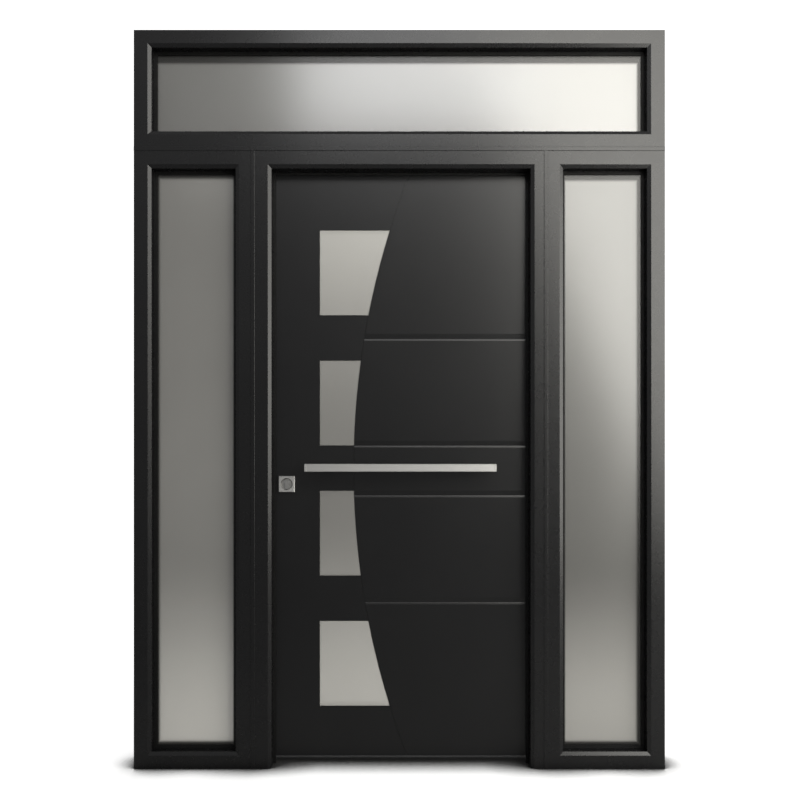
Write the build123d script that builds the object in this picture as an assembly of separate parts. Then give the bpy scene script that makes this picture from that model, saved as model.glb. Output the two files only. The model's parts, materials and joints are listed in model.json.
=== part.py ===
"""Aluminium entrance door set: one inward-opening leaf, two sidelights and a transom light.

Sizes are millimetres. While modelling, X runs to the right from the middle of the set as seen from
outside, Y runs inwards from the front faces of the frames and Z runs up from the floor. Every piece is
then shifted so that the origin lies on the foot of the jamb that carries the hinges.
"""

import os
from dataclasses import dataclass

from build123d import *

# Units of the set
DOOR_WIDTH = 980.0
DOOR_HEIGHT = 2095.0
SIDELIGHT_WIDTH = 396.0
TRANSOM_HEIGHT = 396.0
COUPLING_WIDTH = 14.0
COUPLING_PROUD = 1.6
COUPLING_ROUND = 1.5

# Frame profiles: width of the front face of each member, then the sloped edge towards the opening
OUTER_STILE_FACE = 46.5
INNER_STILE_FACE = 40.0
SIDELIGHT_TOP_FACE = 45.5
SIDELIGHT_BOTTOM_FACE = 45.0
TRANSOM_TOP_FACE = 45.0
TRANSOM_SILL_FACE = 42.5
LOCK_JAMB_FACE = 44.0
HINGE_JAMB_FACE = 32.0
HEAD_FACE = 45.5
SLOPE_WIDTH = 12.0
SLOPE_DEPTH = 6.0
SLOPE_ROUND = 4.0
EDGE_RADIUS = 0.8

# Fixed glazing
FLANGE_DEPTH = 36.0
REBATE = 20.0
GASKET_THICKNESS = 4.0
GASKET_LIP = 11.0
GASKET_HOLD = 14.0
GLASS_THICKNESS = 28.0
GLASS_EDGE_ROOM = 4.0
BEAD_LIP = 3.0
BEAD_BEVEL = 6.0
BEAD_MITRE_GAP = 0.3

# Door leaf and the rebate that it closes into
LEAF_THICKNESS = 62.0
LEAF_COVER = 12.0
LEAF_FLOOR_GAP = 24.0
LOCK_GAP = 8.0
HINGE_GAP = 5.0
HEAD_GAP = 5.0
STOP_DEPTH = 51.0
STOP_GAP = 5.0
SEAL_LIP = 9.0
SEAL_CLEARANCE = 0.3
SKIN = 8.0

# Pattern of the leaf face, measured from the edges of the leaf
ARC_RADIUS = 2770.0
ARC_FROM_LOCK = 289.0
ARC_SLOT_WIDTH = 2.0
ARC_SLOT_DEPTH = 2.0
WINDOW_FROM_LOCK = 171.0
WINDOW_FROM_TOP = 208.5
WINDOW_FROM_BOTTOM = 172.0
WINDOW_HEIGHT = 294.5
WINDOW_COUNT = 4
RIB_DROP = 8.5
RIB_UPPER = 17.0
RIB_LOWER = 7.5
RIB_DEPTH = 2.4
RIB_LIP_LEAN = 0.12
RIB_NEAR = 86.0
RIB_FAR = 456.0

# Panes of the leaf: sealed units with a step, which fills the opening of the outer skin
PANE_THICKNESS = 36.0
PANE_RECESS = 1.5
PANE_JOINT = 1.0
PANE_HOLD = 8.0
PANE_EDGE_ROOM = 1.0

# Pull bar
BAR_LENGTH = 649.0
BAR_HEIGHT = 26.0
BAR_DEPTH = 26.0
BAR_STANDOFF = 46.0
BAR_CAP = 8.0
BAR_EDGE = 1.2
BAR_FROM_LOCK = 449.5
BAR_RISE = 2.5
POST_DIAMETER = 20.0
POST_SPACING = 480.0

# Lock, inside lever and their plates
BACKSET = 58.0
LOCK_DROP = 57.5
LEVER_RISE = 85.0
PLATE_SIDE = 55.0
PLATE_THICKNESS = 11.0
PLATE_BEVEL = 1.5
DISH_RIM_DIAMETER = 42.0
DISH_FLOOR_DIAMETER = 35.0
DISH_DEPTH = 6.0
CYLINDER_HEAD = 17.0
CYLINDER_TAIL = 10.0
CYLINDER_HEIGHT = 33.0
CYLINDER_PROUD = 4.0
PLUG_DIAMETER = 13.0
PLUG_PROUD = 0.8
KEYWAY_WIDTH = 2.6
KEYWAY_HEIGHT = 8.0
KEYWAY_DEPTH = 4.0
FIT = 0.2
LEVER_NECK_DIAMETER = 20.0
LEVER_NECK_LENGTH = 42.0
LEVER_LENGTH = 136.0
LEVER_HEIGHT = 20.0
LEVER_THICKNESS = 12.0
LEVER_EDGE = 3.0

# Lock plates on the leaf edge and on the jamb
FACEPLATE_WIDTH = 24.0
FACEPLATE_HEIGHT = 280.0
FACEPLATE_THICKNESS = 3.0
STRIKE_HEIGHT = 220.0
BOLT_WIDTH = 14.0
BOLT_LENGTH = 24.0
LATCH_HEIGHT = 30.0
DEADBOLT_HEIGHT = 34.0
BOLT_ROOM = 2.0

# Barrel hinges on the inside
HINGE_FROM_TOP = 219.5
HINGE_FROM_BOTTOM = 226.0
HINGE_COUNT = 3
HINGE_HEIGHT = 100.0
KNUCKLE_RADIUS = 8.0
KNUCKLE_STANDOFF = 1.0
KNUCKLE_SLIT = 0.5
FLANGE_THICKNESS = 3.5
FLANGE_WIDTH = 18.0
FLANGE_ROOM = 1.5
PIN_RADIUS = 4.0
PIN_FIT = 0.1
PIN_HEAD_RADIUS = 6.5
PIN_HEAD_HEIGHT = 3.0

# Worked-out places
FRAME_DEPTH = STOP_DEPTH + STOP_GAP + LEAF_THICKNESS
SET_WIDTH = DOOR_WIDTH + 2 * (COUPLING_WIDTH + SIDELIGHT_WIDTH)
SET_HEIGHT = DOOR_HEIGHT + COUPLING_WIDTH + TRANSOM_HEIGHT
DOOR_LEFT = -DOOR_WIDTH / 2
DOOR_RIGHT = DOOR_WIDTH / 2
MITRE_REACH = SLOPE_WIDTH + 2 * BEAD_LIP
GLASS_FRONT = FLANGE_DEPTH + GASKET_THICKNESS
GLASS_BACK = GLASS_FRONT + GLASS_THICKNESS
LEAF_FRONT = STOP_DEPTH + STOP_GAP
LEAF_BACK = FRAME_DEPTH
STOP_LEFT = DOOR_LEFT + LOCK_JAMB_FACE + SLOPE_WIDTH
STOP_RIGHT = DOOR_RIGHT - HINGE_JAMB_FACE - SLOPE_WIDTH
STOP_TOP = DOOR_HEIGHT - HEAD_FACE - SLOPE_WIDTH
LEAF_LEFT = STOP_LEFT - LEAF_COVER
LEAF_RIGHT = STOP_RIGHT + LEAF_COVER
LEAF_TOP = STOP_TOP + LEAF_COVER
LEAF_BOTTOM = LEAF_FLOOR_GAP
CORE_FRONT = LEAF_FRONT + SKIN
CORE_BACK = LEAF_BACK - SKIN
PANE_FRONT = LEAF_FRONT + PANE_RECESS
PANE_BACK = CORE_FRONT + PANE_THICKNESS
WINDOW_TOP = LEAF_TOP - WINDOW_FROM_TOP
WINDOW_BOTTOM = LEAF_BOTTOM + WINDOW_FROM_BOTTOM
WINDOW_PITCH = (WINDOW_TOP - WINDOW_BOTTOM - WINDOW_HEIGHT) / (WINDOW_COUNT - 1)
PATTERN_LEVEL = (WINDOW_TOP + WINDOW_BOTTOM) / 2
RIB_LEVEL = PATTERN_LEVEL - RIB_DROP
ARC_CENTRE_X = LEAF_LEFT + ARC_FROM_LOCK + ARC_RADIUS
BAR_LEVEL = PATTERN_LEVEL + BAR_RISE
LOCK_LEVEL = BAR_LEVEL - LOCK_DROP
LOCK_X = LEAF_LEFT + BACKSET
KEY_LEVEL = LOCK_LEVEL + (CYLINDER_HEIGHT - CYLINDER_HEAD) / 2
TAIL_LEVEL = LOCK_LEVEL - (CYLINDER_HEIGHT - CYLINDER_TAIL) / 2
BAR_X = LEAF_LEFT + BAR_FROM_LOCK
BAR_BACK = LEAF_FRONT - BAR_STANDOFF
LEVER_LEVEL = LOCK_LEVEL + LEVER_RISE
FACEPLATE_Y = (CORE_FRONT + CORE_BACK) / 2
FACEPLATE_LEVEL = (LOCK_LEVEL + LEVER_LEVEL) / 2
HINGE_X = LEAF_RIGHT + HINGE_GAP / 2
HINGE_Y = LEAF_BACK + KNUCKLE_STANDOFF + KNUCKLE_RADIUS
HINGE_LOWEST = LEAF_BOTTOM + HINGE_FROM_BOTTOM
HINGE_PITCH = (LEAF_TOP - HINGE_FROM_TOP - HINGE_LOWEST) / (HINGE_COUNT - 1)
HINGE_JAMB_BACK = LEAF_RIGHT + HINGE_GAP
ORIGIN_X = (HINGE_JAMB_BACK + DOOR_RIGHT) / 2
ORIGIN_Y = FRAME_DEPTH / 2
BEYOND = 50.0


@dataclass(frozen=True)
class Unit:
    """One framed rectangle of the set, with the face width of each of its members."""

    x0: float
    x1: float
    z0: float
    z1: float
    left: float
    right: float
    bottom: float
    top: float

    def inset(self, distance):
        """The four sides of the opening moved by a distance: x0, x1, z0, z1. Positive makes it smaller."""
        return (
            self.x0 + self.left + SLOPE_WIDTH + distance,
            self.x1 - self.right - SLOPE_WIDTH - distance,
            self.z0 + self.bottom + SLOPE_WIDTH + distance,
            self.z1 - self.top - SLOPE_WIDTH - distance,
        )


def block(x0, x1, y0, y1, z0, z1):
    """A rectangular block between six coordinates."""
    middle = Pos((x0 + x1) / 2, (y0 + y1) / 2, (z0 + z1) / 2)
    return middle * Box(x1 - x0, y1 - y0, z1 - z0)


def area(x0, x1, z0, z1):
    """A rectangle in the plane of the door."""
    return Pos((x0 + x1) / 2, (z0 + z1) / 2) * Rectangle(x1 - x0, z1 - z0)


def plate(sketch, y0, y1):
    """A sketch of the door's plane given a thickness from one depth to another."""
    plane = Plane(origin=(0, y1, 0), x_dir=(1, 0, 0), z_dir=(0, -1, 0))
    return extrude(plane * sketch, amount=y1 - y0)


def drum(x, z, radius, y0, y1):
    """A cylinder that runs inwards from one depth to another."""
    return plate(Pos(x, z) * Circle(radius), y0, y1)


def frame_section(face, flange_depth, rebate):
    """Profile of a frame member: distance from its outer edge, then depth behind its front face."""
    sight = face + SLOPE_WIDTH
    section = Polygon(
        (0, 0),
        (face, 0),
        (sight, SLOPE_DEPTH),
        (sight, flange_depth),
        (sight - rebate, flange_depth),
        (sight - rebate, FRAME_DEPTH),
        (0, FRAME_DEPTH),
        align=None,
    )
    front = [v for v in section.vertices() if v.X > face / 2 and v.Y < SLOPE_DEPTH / 2]
    section = fillet(front, SLOPE_ROUND)
    inner = [v for v in section.vertices() if v.X > sight - EDGE_RADIUS]
    return fillet(inner, EDGE_RADIUS)


def bead_section(face):
    """Profile of the glazing bead that clips into the rebate behind the glass."""
    sight = face + SLOPE_WIDTH
    return Polygon(
        (sight - REBATE, GLASS_BACK),
        (sight + BEAD_LIP, GLASS_BACK),
        (sight + BEAD_LIP, FRAME_DEPTH - BEAD_BEVEL),
        (sight + BEAD_LIP - BEAD_BEVEL, FRAME_DEPTH),
        (sight - REBATE, FRAME_DEPTH),
        align=None,
    )


def side_plane(unit, side):
    """Working plane of a member's profile, at its outer corner, with the length to extrude it."""
    planes = {
        "left": Plane((unit.x0, 0, unit.z0), x_dir=(1, 0, 0), z_dir=(0, 0, 1)),
        "right": Plane((unit.x1, 0, unit.z1), x_dir=(-1, 0, 0), z_dir=(0, 0, -1)),
        "bottom": Plane((unit.x1, 0, unit.z0), x_dir=(0, 0, 1), z_dir=(-1, 0, 0)),
        "top": Plane((unit.x0, 0, unit.z1), x_dir=(0, 0, -1), z_dir=(1, 0, 0)),
    }
    upright = side in ("left", "right")
    return planes[side], (unit.z1 - unit.z0 if upright else unit.x1 - unit.x0)


def mitre_wedge(unit, side, gap=0.0):
    """The part of the unit that belongs to one side: its corners are cut from corner to sloped edge."""
    x0, x1, z0, z1 = unit.inset(-SLOPE_WIDTH)
    reach = MITRE_REACH
    corners = {
        "bl": ((unit.x0, unit.z0), (x0, z0), (x0 + reach, z0 + reach)),
        "br": ((unit.x1, unit.z0), (x1, z0), (x1 - reach, z0 + reach)),
        "tl": ((unit.x0, unit.z1), (x0, z1), (x0 + reach, z1 - reach)),
        "tr": ((unit.x1, unit.z1), (x1, z1), (x1 - reach, z1 - reach)),
    }
    ends = {"left": ("bl", "tl"), "right": ("br", "tr"), "bottom": ("bl", "br"), "top": ("tl", "tr")}
    first, last = ends[side]
    wedge = make_face(Polyline(*corners[first], *reversed(corners[last]), close=True))
    along = (0, gap) if side in ("left", "right") else (gap, 0)
    trimmed = (Pos(*along) * wedge) & (Pos(-along[0], -along[1]) * wedge)
    return plate(trimmed, -BEYOND, FRAME_DEPTH + BEYOND)


def member(unit, side, section, gap=0.0):
    """A profile run along one side of a unit and mitred at both of its ends."""
    plane, length = side_plane(unit, side)
    return extrude(plane * section, amount=length) & mitre_wedge(unit, side, gap)


def ring(outer, inner, y0, y1):
    """A flat frame between two rectangles."""
    return plate(area(*outer) - area(*inner), y0, y1)


def fixed_light(unit):
    """The pieces of one glazed unit: four members, gasket, glass and four beads."""
    pieces = {}
    for side in ("left", "right", "bottom", "top"):
        face = getattr(unit, side)
        pieces[side] = [member(unit, side, frame_section(face, FLANGE_DEPTH, REBATE))]
        bead = member(unit, side, bead_section(face), BEAD_MITRE_GAP)
        pieces.setdefault("beads", []).append(bead)
    pieces["gasket"] = [ring(unit.inset(-GASKET_HOLD), unit.inset(GASKET_LIP), FLANGE_DEPTH, GLASS_FRONT)]
    pieces["glass"] = [plate(area(*unit.inset(GLASS_EDGE_ROOM - REBATE)), GLASS_FRONT, GLASS_BACK)]
    return pieces


def coupling(start, end, centre, upright):
    """A strip between two units, a little proud of both faces, with rounded edges."""
    depth = FRAME_DEPTH + 2 * COUPLING_PROUD
    section = Pos(0, FRAME_DEPTH / 2) * RectangleRounded(COUPLING_WIDTH, depth, COUPLING_ROUND)
    if upright:
        plane = Plane((centre, 0, start), x_dir=(1, 0, 0), z_dir=(0, 0, 1))
    else:
        plane = Plane((start, 0, centre), x_dir=(0, 0, -1), z_dir=(1, 0, 0))
    return extrude(plane * section, amount=end - start)


def lock_pockets(x0, x1, room):
    """Blocks at the latch and at the deadbolt, between two distances across the door."""
    sizes = ((LEVER_LEVEL, LATCH_HEIGHT), (LOCK_LEVEL, DEADBOLT_HEIGHT))
    half = BOLT_WIDTH / 2 + room
    return [
        block(x0, x1, FACEPLATE_Y - half, FACEPLATE_Y + half, z - h / 2 - room, z + h / 2 + room)
        for z, h in sizes
    ]


def edge_plate(x0, x1, height, room):
    """A lock plate standing on edge, centred between latch and deadbolt."""
    half = FACEPLATE_WIDTH / 2 + room
    z0 = FACEPLATE_LEVEL - height / 2 - room
    return block(x0, x1, FACEPLATE_Y - half, FACEPLATE_Y + half, z0, z0 + height + 2 * room)


def door_frame():
    """Jambs and head with the stop that the leaf closes against, the seal and the strike plate."""
    # The frame has no sill, so its lower corners are never mitred: the unit runs on below the floor.
    below = -DOOR_HEIGHT
    unit = Unit(
        DOOR_LEFT, DOOR_RIGHT, below, DOOR_HEIGHT, LOCK_JAMB_FACE, HINGE_JAMB_FACE, HEAD_FACE, HEAD_FACE
    )
    above_floor = block(DOOR_LEFT, DOOR_RIGHT, -BEYOND, FRAME_DEPTH + BEYOND, 0, DOOR_HEIGHT)
    lock_rebate = LEAF_COVER + LOCK_GAP
    lock_face = LEAF_LEFT - LOCK_GAP
    strike_back = lock_face - FACEPLATE_THICKNESS
    lock_jamb = member(unit, "left", frame_section(LOCK_JAMB_FACE, STOP_DEPTH, lock_rebate)) & above_floor
    lock_jamb -= edge_plate(strike_back, lock_face, STRIKE_HEIGHT, FIT)
    strike = edge_plate(strike_back, lock_face, STRIKE_HEIGHT, 0)
    for pocket in lock_pockets(lock_face - BOLT_LENGTH, lock_face, BOLT_ROOM):
        lock_jamb -= pocket
        strike -= pocket
    hinge_section = frame_section(HINGE_JAMB_FACE, STOP_DEPTH, LEAF_COVER + HINGE_GAP)
    hinge_jamb = member(unit, "right", hinge_section) & above_floor
    head = member(unit, "top", frame_section(HEAD_FACE, STOP_DEPTH, LEAF_COVER + HEAD_GAP))
    outer = area(LEAF_LEFT, LEAF_RIGHT, 0, LEAF_TOP)
    inner = area(STOP_LEFT + SEAL_LIP, STOP_RIGHT - SEAL_LIP, 0, STOP_TOP - SEAL_LIP)
    seal = plate(outer - inner, STOP_DEPTH, LEAF_FRONT - SEAL_CLEARANCE)
    return {
        "lock_jamb": [lock_jamb],
        "hinge_jamb": [hinge_jamb],
        "door_head": [head],
        "door_seal": [seal],
        "strike_plate": [strike],
    }


def arc_x(level):
    """Where the long arc of the leaf face passes at a height."""
    return ARC_CENTRE_X - (ARC_RADIUS**2 - (level - PATTERN_LEVEL) ** 2) ** 0.5


def window_levels():
    """Lower and upper edge of each window, from the top one down, evenly spaced."""
    tops = [WINDOW_TOP - i * WINDOW_PITCH for i in range(WINDOW_COUNT)]
    return [(top - WINDOW_HEIGHT, top) for top in tops]


def window(levels, grow):
    """Outline of a window: three straight sides and the long arc as its fourth, all moved outwards."""
    low, high = levels
    left = LEAF_LEFT + WINDOW_FROM_LOCK
    right = max(arc_x(low - grow), arc_x(high + grow)) + BEYOND
    whole = area(left - grow, right, low - grow, high + grow)
    return whole - Pos(ARC_CENTRE_X, PATTERN_LEVEL) * Circle(ARC_RADIUS - grow)


def leaf_grooves():
    """Cuts of the outer face: a fine slot along the arc and four level grooves from it to the hinge edge.

    Each groove slopes in from its upper rim and comes out again over a rounded lower lip.
    """
    half = ARC_SLOT_WIDTH / 2
    slot = Circle(ARC_RADIUS + half) - Circle(ARC_RADIUS - half)
    grooves = [plate(Pos(ARC_CENTRE_X, PATTERN_LEVEL) * slot, LEAF_FRONT, LEAF_FRONT + ARC_SLOT_DEPTH)]
    for offset in (RIB_FAR, RIB_NEAR, -RIB_NEAR, -RIB_FAR):
        level = RIB_LEVEL + offset
        lip = (LEAF_FRONT, level - RIB_LOWER)
        deepest = (LEAF_FRONT + RIB_DEPTH, level)
        rim = (LEAF_FRONT, level + RIB_UPPER)
        outline = [
            TangentArc(lip, deepest, tangent=(RIB_LIP_LEAN, 1)),
            Line(deepest, rim),
            Line(rim, lip),
        ]
        section = make_face(outline)
        begin = arc_x(level)
        grooves.append(extrude(Plane.YZ.offset(begin) * section, amount=LEAF_RIGHT + BEYOND - begin))
    return grooves


def leaf_panel():
    """Skins, core, panes and the rings that hold the panes, with the lock plate and bolts of the edge."""
    whole = area(LEAF_LEFT, LEAF_RIGHT, LEAF_BOTTOM, LEAF_TOP)
    outer_skin = plate(whole, LEAF_FRONT, CORE_FRONT)
    core = plate(whole, CORE_FRONT, CORE_BACK)
    inner_skin = plate(whole, CORE_BACK, LEAF_BACK)
    names = ("top_pane", "upper_pane", "lower_pane", "bottom_pane")
    pieces = {"pane_retainers": []}
    for name, levels in zip(names, window_levels()):
        opening = window(levels, 0)
        pocket = window(levels, PANE_HOLD)
        seat = window(levels, PANE_HOLD - PANE_EDGE_ROOM)
        step = window(levels, -PANE_JOINT)
        outer_skin -= plate(opening, LEAF_FRONT, CORE_FRONT)
        core -= plate(pocket, CORE_FRONT, CORE_BACK)
        inner_skin -= plate(opening, CORE_BACK, LEAF_BACK)
        pieces[name] = [plate(step, PANE_FRONT, CORE_FRONT) + plate(seat, CORE_FRONT, PANE_BACK)]
        pieces["pane_retainers"].append(plate(seat - opening, PANE_BACK, CORE_BACK))
    for groove in leaf_grooves():
        outer_skin -= groove
    plate_back = LEAF_LEFT + FACEPLATE_THICKNESS
    core -= edge_plate(LEAF_LEFT, plate_back, FACEPLATE_HEIGHT, FIT)
    faceplate = edge_plate(LEAF_LEFT, plate_back, FACEPLATE_HEIGHT, 0)
    for pocket in lock_pockets(LEAF_LEFT, LEAF_LEFT + BOLT_LENGTH, FIT):
        core -= pocket
        faceplate -= pocket
    pieces["lock_faceplate"] = [faceplate]
    pieces["lock_bolts"] = lock_pockets(LEAF_LEFT, LEAF_LEFT + BOLT_LENGTH, 0)
    pieces["leaf_outer_skin"] = [outer_skin]
    pieces["leaf_core"] = [core]
    pieces["leaf_inner_skin"] = [inner_skin]
    return pieces


def pull_bar():
    """Square bar across the leaf, its two end caps and the posts that carry it."""
    front = BAR_BACK - BAR_DEPTH
    z0 = BAR_LEVEL - BAR_HEIGHT / 2
    z1 = BAR_LEVEL + BAR_HEIGHT / 2
    ends = (BAR_X - BAR_LENGTH / 2, BAR_X + BAR_LENGTH / 2)
    bar = block(ends[0] + BAR_CAP, ends[1] - BAR_CAP, front, BAR_BACK, z0, z1)
    bar = chamfer(bar.edges().filter_by(Axis.X), BAR_EDGE)
    caps = []
    for x0, x1 in ((ends[0], ends[0] + BAR_CAP), (ends[1] - BAR_CAP, ends[1])):
        cap = block(x0, x1, front, BAR_BACK, z0, z1)
        caps.append(chamfer(cap.edges(), BAR_EDGE))
    posts = [
        drum(BAR_X + sign * POST_SPACING / 2, BAR_LEVEL, POST_DIAMETER / 2, BAR_BACK, LEAF_FRONT)
        for sign in (-1, 1)
    ]
    return {"pull_bar": [bar], "pull_bar_caps": caps, "pull_bar_posts": posts}


def square_plate(level, y_foot, outwards):
    """A bevelled square plate on one face of the leaf."""
    half = PLATE_SIDE / 2
    y_top = y_foot + outwards * PLATE_THICKNESS
    body = block(
        LOCK_X - half, LOCK_X + half, min(y_foot, y_top), max(y_foot, y_top), level - half, level + half
    )
    faces = body.faces().sort_by(Axis.Y)
    top = faces[0] if outwards < 0 else faces[-1]
    return chamfer(top.edges(), PLATE_BEVEL)


def cylinder_outline(grow):
    """Outline of the key cylinder, all of it moved outwards: a round head over a narrower round-ended tail."""
    half = CYLINDER_TAIL / 2 + grow
    head = Pos(LOCK_X, KEY_LEVEL) * Circle(CYLINDER_HEAD / 2 + grow)
    tail = area(LOCK_X - half, LOCK_X + half, TAIL_LEVEL, KEY_LEVEL)
    return head + tail + Pos(LOCK_X, TAIL_LEVEL) * Circle(half)


def lock_plate(y_foot, outwards):
    """A square plate with a round dish in it, through whose floor the key cylinder comes."""
    y_top = y_foot + outwards * PLATE_THICKNESS
    y_floor = y_top - outwards * DISH_DEPTH
    section = Polygon(
        (LOCK_X, y_top),
        (LOCK_X + DISH_RIM_DIAMETER / 2, y_top),
        (LOCK_X + DISH_FLOOR_DIAMETER / 2, y_floor),
        (LOCK_X, y_floor),
        align=None,
    )
    dish = revolve(Pos(0, 0, LOCK_LEVEL) * section, axis=Axis((LOCK_X, 0, LOCK_LEVEL), (0, 1, 0)))
    hole = plate(cylinder_outline(FIT), min(y_foot, y_top), max(y_foot, y_top))
    return square_plate(LOCK_LEVEL, y_foot, outwards) - dish - hole


def key_cylinder(y_foot, outwards):
    """End of the key cylinder, standing in the dish of its plate, with its plug and the keyway."""
    y_end = y_foot + outwards * (PLATE_THICKNESS - DISH_DEPTH + CYLINDER_PROUD)
    y_plug = y_end + outwards * PLUG_PROUD
    body = plate(cylinder_outline(0), min(y_foot, y_end), max(y_foot, y_end))
    body += drum(LOCK_X, KEY_LEVEL, PLUG_DIAMETER / 2, min(y_foot, y_plug), max(y_foot, y_plug))
    y_key = y_plug - outwards * KEYWAY_DEPTH
    half_width = KEYWAY_WIDTH / 2
    half_height = KEYWAY_HEIGHT / 2
    keyway = block(
        LOCK_X - half_width, LOCK_X + half_width, min(y_key, y_plug), max(y_key, y_plug),
        KEY_LEVEL - half_height, KEY_LEVEL + half_height,
    )
    return body - keyway


def lock_furniture():
    """Plates and cylinder ends on both faces, and the lever on the inside."""
    rose = square_plate(LEVER_LEVEL, LEAF_BACK, 1)
    rose -= drum(LOCK_X, LEVER_LEVEL, LEVER_NECK_DIAMETER / 2 + FIT, LEAF_BACK, LEAF_BACK + PLATE_THICKNESS)
    neck_end = LEAF_BACK + LEVER_NECK_LENGTH
    neck = drum(LOCK_X, LEVER_LEVEL, LEVER_NECK_DIAMETER / 2, LEAF_BACK, neck_end)
    grip = block(
        LOCK_X - LEVER_NECK_DIAMETER / 2, LOCK_X + LEVER_LENGTH - LEVER_NECK_DIAMETER / 2,
        neck_end, neck_end + LEVER_THICKNESS,
        LEVER_LEVEL - LEVER_HEIGHT / 2, LEVER_LEVEL + LEVER_HEIGHT / 2,
    )
    grip = fillet(grip.edges().filter_by(Axis.X), LEVER_EDGE)
    return {
        "outer_lock_plate": [lock_plate(LEAF_FRONT, -1)],
        "outer_cylinder": [key_cylinder(LEAF_FRONT, -1)],
        "inner_lock_plate": [lock_plate(LEAF_BACK, 1)],
        "inner_cylinder": [key_cylinder(LEAF_BACK, 1)],
        "inner_lever_rose": [rose],
        "inner_lever": [neck + grip],
    }


def knuckle(z0, z1):
    """One barrel section of a hinge, bored for its pin."""
    barrel = Cylinder(KNUCKLE_RADIUS, z1 - z0) - Cylinder(PIN_RADIUS + PIN_FIT, z1 - z0)
    return Pos(HINGE_X, HINGE_Y, (z0 + z1) / 2) * barrel


def hinge_half(level, side, spans):
    """A hinge flange screwed to one face, with the barrels that it carries. Side +1 is the jamb's."""
    z0 = level - HINGE_HEIGHT / 2
    near = HINGE_X + side * (KNUCKLE_RADIUS + FLANGE_ROOM)
    far = near + side * FLANGE_WIDTH
    top = LEAF_BACK + FLANGE_THICKNESS
    half = block(min(near, far), max(near, far), LEAF_BACK, top, z0, z0 + HINGE_HEIGHT)
    for low, high in spans:
        root = HINGE_X + side * PIN_RADIUS
        web = block(min(root, near), max(root, near), LEAF_BACK, top, z0 + low, z0 + high)
        bore = Pos(HINGE_X, HINGE_Y, level) * Cylinder(PIN_RADIUS + PIN_FIT, HINGE_HEIGHT)
        half += knuckle(z0 + low, z0 + high) + (web - bore)
    return half


def hinges():
    """Three barrel hinges: the halves on the jamb, the halves on the leaf, and their pins."""
    third = HINGE_HEIGHT / 3
    jamb_spans = ((0, third - KNUCKLE_SLIT), (2 * third + KNUCKLE_SLIT, HINGE_HEIGHT))
    leaf_spans = ((third, 2 * third),)
    pieces = {"hinge_jamb_halves": [], "hinge_leaf_halves": [], "hinge_pins": []}
    for level in (HINGE_LOWEST + i * HINGE_PITCH for i in range(HINGE_COUNT)):
        pieces["hinge_jamb_halves"].append(hinge_half(level, 1, jamb_spans))
        pieces["hinge_leaf_halves"].append(hinge_half(level, -1, leaf_spans))
        top = level + HINGE_HEIGHT / 2
        shank = Pos(HINGE_X, HINGE_Y, level) * Cylinder(PIN_RADIUS, HINGE_HEIGHT)
        head = Pos(HINGE_X, HINGE_Y, top + PIN_HEAD_HEIGHT / 2) * Cylinder(PIN_HEAD_RADIUS, PIN_HEAD_HEIGHT)
        pieces["hinge_pins"].append(shank + head)
    return pieces


def fixed_lights():
    """The two sidelights and the transom, each piece named after its place."""
    inner = DOOR_WIDTH / 2 + COUPLING_WIDTH
    outer = SET_WIDTH / 2
    left = Unit(
        -outer, -inner, 0, DOOR_HEIGHT,
        OUTER_STILE_FACE, INNER_STILE_FACE, SIDELIGHT_BOTTOM_FACE, SIDELIGHT_TOP_FACE,
    )
    right = Unit(
        inner, outer, 0, DOOR_HEIGHT,
        INNER_STILE_FACE, OUTER_STILE_FACE, SIDELIGHT_BOTTOM_FACE, SIDELIGHT_TOP_FACE,
    )
    transom = Unit(
        -outer, outer, DOOR_HEIGHT + COUPLING_WIDTH, SET_HEIGHT,
        OUTER_STILE_FACE, OUTER_STILE_FACE, TRANSOM_SILL_FACE, TRANSOM_TOP_FACE,
    )
    words = {"bottom": "bottom_rail", "top": "top_rail"}
    stiles = {
        "left_sidelight": {"left": "outer_stile", "right": "inner_stile"},
        "right_sidelight": {"left": "inner_stile", "right": "outer_stile"},
        "transom": {"left": "left_stile", "right": "right_stile"},
    }
    pieces = {}
    for name, unit in (("left_sidelight", left), ("right_sidelight", right), ("transom", transom)):
        for part, solids in fixed_light(unit).items():
            word = stiles[name].get(part) or words.get(part) or part
            pieces[f"{name}_{word}"] = solids
    return pieces


def couplings():
    """The strips between the units: one each side of the door and one under the transom."""
    beside = (DOOR_WIDTH + COUPLING_WIDTH) / 2
    above = DOOR_HEIGHT + COUPLING_WIDTH / 2
    return {
        "left_coupling_strip": [coupling(0, DOOR_HEIGHT, -beside, True)],
        "right_coupling_strip": [coupling(0, DOOR_HEIGHT, beside, True)],
        "transom_coupling_strip": [coupling(-SET_WIDTH / 2, SET_WIDTH / 2, above, False)],
    }


def main():
    """Build every piece, move the set to its origin and write one file for each named piece."""
    os.makedirs("parts", exist_ok=True)
    place = Pos(-ORIGIN_X, -ORIGIN_Y, 0)
    makers = (fixed_lights, couplings, door_frame, leaf_panel, pull_bar, lock_furniture, hinges)
    for maker in makers:
        for name, shapes in maker().items():
            solids = [solid for shape in shapes for solid in (place * shape).solids()]
            whole = solids[0] if len(solids) == 1 else Compound(children=solids)
            export_step(whole, f"parts/{name}.step")


if __name__ == "__main__":
    main()
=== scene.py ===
"""Looks of an aluminium entrance door set: finishes, small fittings, studio and camera.

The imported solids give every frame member, pane and fitting. This script dresses them in satin powder
coat, etched glass, brushed steel and rubber, adds the screws that hold the fittings, and stands the set
on a pale floor in soft studio light.
"""

from __future__ import annotations

import json
import logging
from dataclasses import dataclass, replace
from enum import Enum
from typing import Optional, Sequence

import bpy
import numpy as np
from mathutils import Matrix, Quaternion, Vector

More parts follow.
